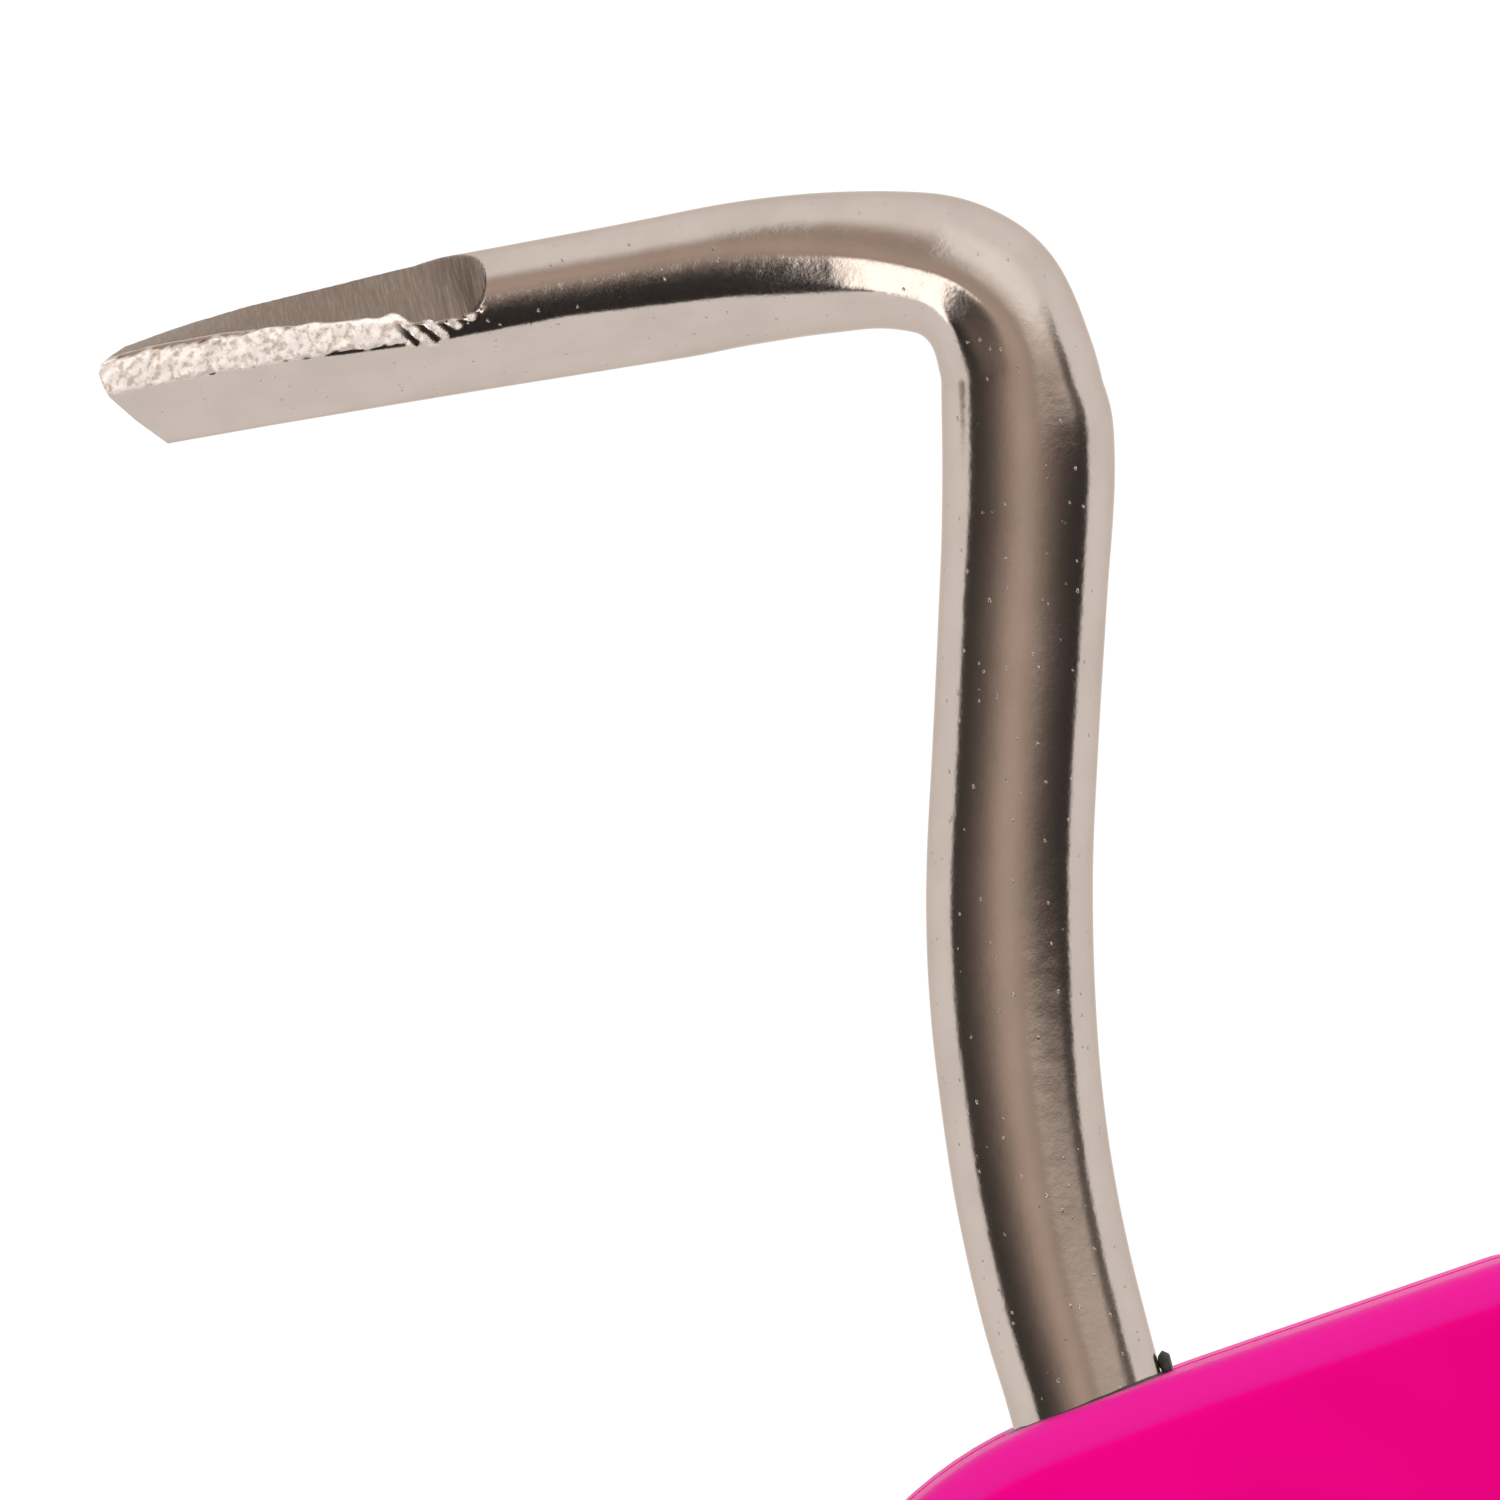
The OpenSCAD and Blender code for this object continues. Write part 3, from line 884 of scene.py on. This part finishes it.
def build_tuft(x, z, seed):
    draw = random.Random(seed)
    points, faces, along = [], [], []
    sides, steps = 6, 7
    roots = spread_points(FILAMENTS, TUFT_HOLE_D / 2 - 0.22, draw)
    for u0, w0 in roots:
        flare = TUFT_TIP_D / TUFT_HOLE_D * draw.uniform(0.86, 1.04)
        lean_u, lean_w = draw.uniform(-0.14, 0.14), draw.uniform(-0.14, 0.14)
        curl_u, curl_w = draw.uniform(-0.16, 0.16), draw.uniform(-0.16, 0.16)
        end = TUFT_HOLE_DEPTH + BRISTLE_L - draw.uniform(0.0, 0.35)
        r = FILAMENT_D / 2 * draw.uniform(0.94, 1.05)
        base = len(points)
        for j in range(steps):
            h = FILAMENT_START + (end - FILAMENT_START) * j / (steps - 1)
            out = max(0.0, (h - TUFT_HOLE_DEPTH) / BRISTLE_L)
            spread = 1 + (flare - 1) * out
            u = u0 * spread + lean_u * out + curl_u * math.sin(math.pi * out)
            w = w0 * spread + lean_w * out + curl_w * math.sin(math.pi * out)
            thick = r * (0.82 if j == steps - 1 else 1.0)
            for k in range(sides):
                t = 2 * math.pi * k / sides
                points.append((x + u + thick * math.cos(t),
                               TUFT_HOLE_DEPTH - PAD_Y - h,
                               z + w + thick * math.sin(t)))
                along.append(out)
        # the rings go down towards -Y, so their faces are turned over
        faces += [face[::-1] for face in tube_faces(base, sides, steps)]
    mesh = make_mesh(f"bristles_{seed}", points, faces)
    float_attribute(mesh, "along", along)
    shade_smooth(mesh, 50)
    return mesh


# ---------------------------------------------------------------- make the pieces
nickel = rod_material()
pink = handle_material()
resin = bead_material()
nylon = bristle_material()
wire = staple_material()

make_piece("pick", build_rod(), nickel, ["pick_rod"])
grip = make_piece("grip", build_handle(), pink, ["handle"])
grip.visible_glossy = False     # the polished rod shows the studio, not the handle
make_piece("mouth_bead", build_bead(), resin, ["socket_bead"])
for number, (node_name, tuft_x, tuft_z) in enumerate(tuft_places()):
    make_piece(node_name.replace("tuft", "bristles"), build_tuft(tuft_x, tuft_z, number + 1),
               nylon, [node_name])
for node_name in ("staples_a", "staples_b", "staples_c"):
    for material_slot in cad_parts[node_name].material_slots:
        material_slot.material = wire


# ---------------------------------------------------------------- floor and light
def build_floor():
    mesh = bpy.data.meshes.new("floor")
    shape = bmesh.new()
    bmesh.ops.create_circle(shape, cap_ends=True, segments=96, radius=6)
    shape.to_mesh(mesh)
    shape.free()
    material, nodes, shader = new_material("floor_white")
    shader.inputs["Base Color"].default_value = grey(0.04)
    shader.inputs["Roughness"].default_value = 0.9
    shader.inputs["Specular IOR Level"].default_value = 0.0
    shader.inputs["Emission Color"].default_value = grey(1.0)
    shader.inputs["Emission Strength"].default_value = 1.0
    mesh.materials.append(material)
    floor = bpy.data.objects.new("floor", mesh)
    floor.location = (0.1, 0, FLOOR_Z * MM)
    bpy.context.scene.collection.objects.link(floor)


def build_world():
    """A dark room with a warm ceiling patch, a broad soft light on one side and a
    smaller, brighter one on the other. The camera itself sees a plain pale ground.

    Angles are in degrees: azimuth from the picture's right, and zenith from overhead.
    """
    world = bpy.data.worlds.new("studio")
    bpy.context.scene.world = world
    world.use_nodes = True
    nodes = Nodes(world.node_tree)
    tree = world.node_tree
    direction = nodes.add("ShaderNodeTexCoord").outputs["Generated"]

    def along(axis):
        node = nodes.add("ShaderNodeVectorMath", operation="DOT_PRODUCT")
        nodes.put(node.inputs[0], direction)
        node.inputs[1].default_value = axis
        return node.outputs["Value"]

    right, up = along(PICTURE_RIGHT), along(PICTURE_UP)
    height = along((0, 0, 1))
    azimuth = nodes.math("MULTIPLY", nodes.math("ARCTAN2", up, right), 180 / math.pi)
    # from -180..180 to 0..360
    azimuth = nodes.math("MODULO", nodes.math("ADD", azimuth, 360.0), 360.0)
    zenith = nodes.math("MULTIPLY", nodes.math("ARCCOSINE", height), 180 / math.pi)

    # ceiling patch, falling off from straight overhead
    across = nodes.math("POWER", nodes.math("DIVIDE", nodes.math("ADD", right, 0.07), 0.53), 2.0)
    down = nodes.math("POWER", nodes.math("DIVIDE", up, 0.66), 2.0)
    spread = nodes.math("MULTIPLY", nodes.math("ADD", across, down), -1.0)
    patch = nodes.math("EXPONENT", spread)
    patch = nodes.math("MULTIPLY", patch, nodes.step(up, -0.74, -0.06))

    # warm glow of a wall to one side
    glow = nodes.math("MULTIPLY", nodes.step(azimuth, 0.0, 15.0),
                      nodes.step(azimuth, 40.0, 60.0, 1.0, 0.0))
    glow = nodes.math("MULTIPLY", glow, nodes.step(zenith, 8.0, 24.0))
    glow = nodes.math("MULTIPLY", glow, nodes.step(zenith, 58.0, 72.0, 1.0, 0.2))

    # broad soft light on the far side, lower in one part, and the pale ground
    # turned up at its rim
    lowered = nodes.math("MULTIPLY", nodes.step(azimuth, 64.0, 76.0),
                         nodes.step(azimuth, 86.0, 97.0, 1.0, 0.0))
    lifted = nodes.math("MULTIPLY", nodes.step(azimuth, 30.0, 22.0), 14.0)
    start = nodes.math("ADD", nodes.math("MULTIPLY", lowered, 25.0), lifted)
    patch = nodes.math("MAXIMUM", patch, nodes.math("MULTIPLY", lowered, 0.78))
    broad = nodes.math("MULTIPLY", nodes.step(azimuth, 17.0, 29.0),
                       nodes.step(azimuth, 112.0, 150.0, 1.0, 0.0))
    broad = nodes.math("MULTIPLY", broad,
                       nodes.step(nodes.math("SUBTRACT", zenith, start), 9.0, 43.0))
    broad = nodes.math("MAXIMUM", broad, nodes.step(zenith, 79.5, 85.0))

    # smaller bright light with slanting sides, on the near side
    sunk = nodes.math("SUBTRACT", nodes.math("MAXIMUM", zenith, 38.0), 38.0)
    near_side = nodes.math("ADD", azimuth, nodes.math("MULTIPLY", sunk, 0.45))
    far_side = nodes.math("ADD", azimuth, nodes.math("MULTIPLY", sunk, 0.15))
    small = nodes.math("MULTIPLY", nodes.step(near_side, 245.5, 250.5),
                       nodes.step(far_side, 263.0, 267.5, 1.0, 0.0))
    small = nodes.math("MULTIPLY", small, nodes.step(zenith, 10.0, 24.0))

    room = nodes.mix(patch, (0.036, 0.033, 0.033, 1), (0.63, 0.515, 0.445, 1))
    room = nodes.mix(glow, room, (0.72, 0.64, 0.575, 1))
    dimmer = nodes.math("MAXIMUM", nodes.step(azimuth, 62.0, 80.0),
                        nodes.step(zenith, 58.0, 84.0))
    light = nodes.mix(dimmer, (1.27, 1.25, 1.23, 1), (1.07, 1.05, 1.03, 1))
    room = nodes.mix(broad, room, light)
    room = nodes.mix(small, room, (2.4, 2.35, 2.3, 1))
    studio = next(n for n in tree.nodes if n.type == "BACKGROUND")
    nodes.put(studio.inputs["Color"], room)
    studio.inputs["Strength"].default_value = 1.0
    plain = nodes.add("ShaderNodeBackground")
    plain.inputs["Color"].default_value = (0.97, 0.97, 0.97, 1)
    seen = nodes.add("ShaderNodeLightPath").outputs["Is Camera Ray"]
    either = nodes.add("ShaderNodeMixShader")
    nodes.put(either.inputs[0], seen)
    tree.links.new(studio.outputs[0], either.inputs[1])
    tree.links.new(plain.outputs[0], either.inputs[2])
    out = next(n for n in tree.nodes if n.type == "OUTPUT_WORLD")
    tree.links.new(either.outputs[0], out.inputs["Surface"])


def soft_light(name, towards, distance, size, power):
    """A large area light that lights matt surfaces but isn't mirrored in the metal."""
    data = bpy.data.lights.new(name, "AREA")
    data.shape = "DISK"
    data.size = size
    data.energy = power
    light = bpy.data.objects.new(name, data)
    way = Vector(towards).normalized()
    light.location = VIEW_CENTRE + way * distance
    light.rotation_mode = "QUATERNION"
    light.rotation_quaternion = way.to_track_quat("Z", "Y")
    light.visible_camera = False
    light.visible_glossy = False
    bpy.context.scene.collection.objects.link(light)


build_floor()
build_world()
soft_light("overhead", PICTURE_UP * 0.4 + Vector((0, 0, 1)), 0.9, 0.7, 4.6)

bpy.context.scene.view_settings.view_transform = "Standard"
bpy.context.scene.view_settings.look = "None"
bpy.context.scene.view_settings.exposure = 0.0
bpy.context.scene.view_settings.gamma = 1.0
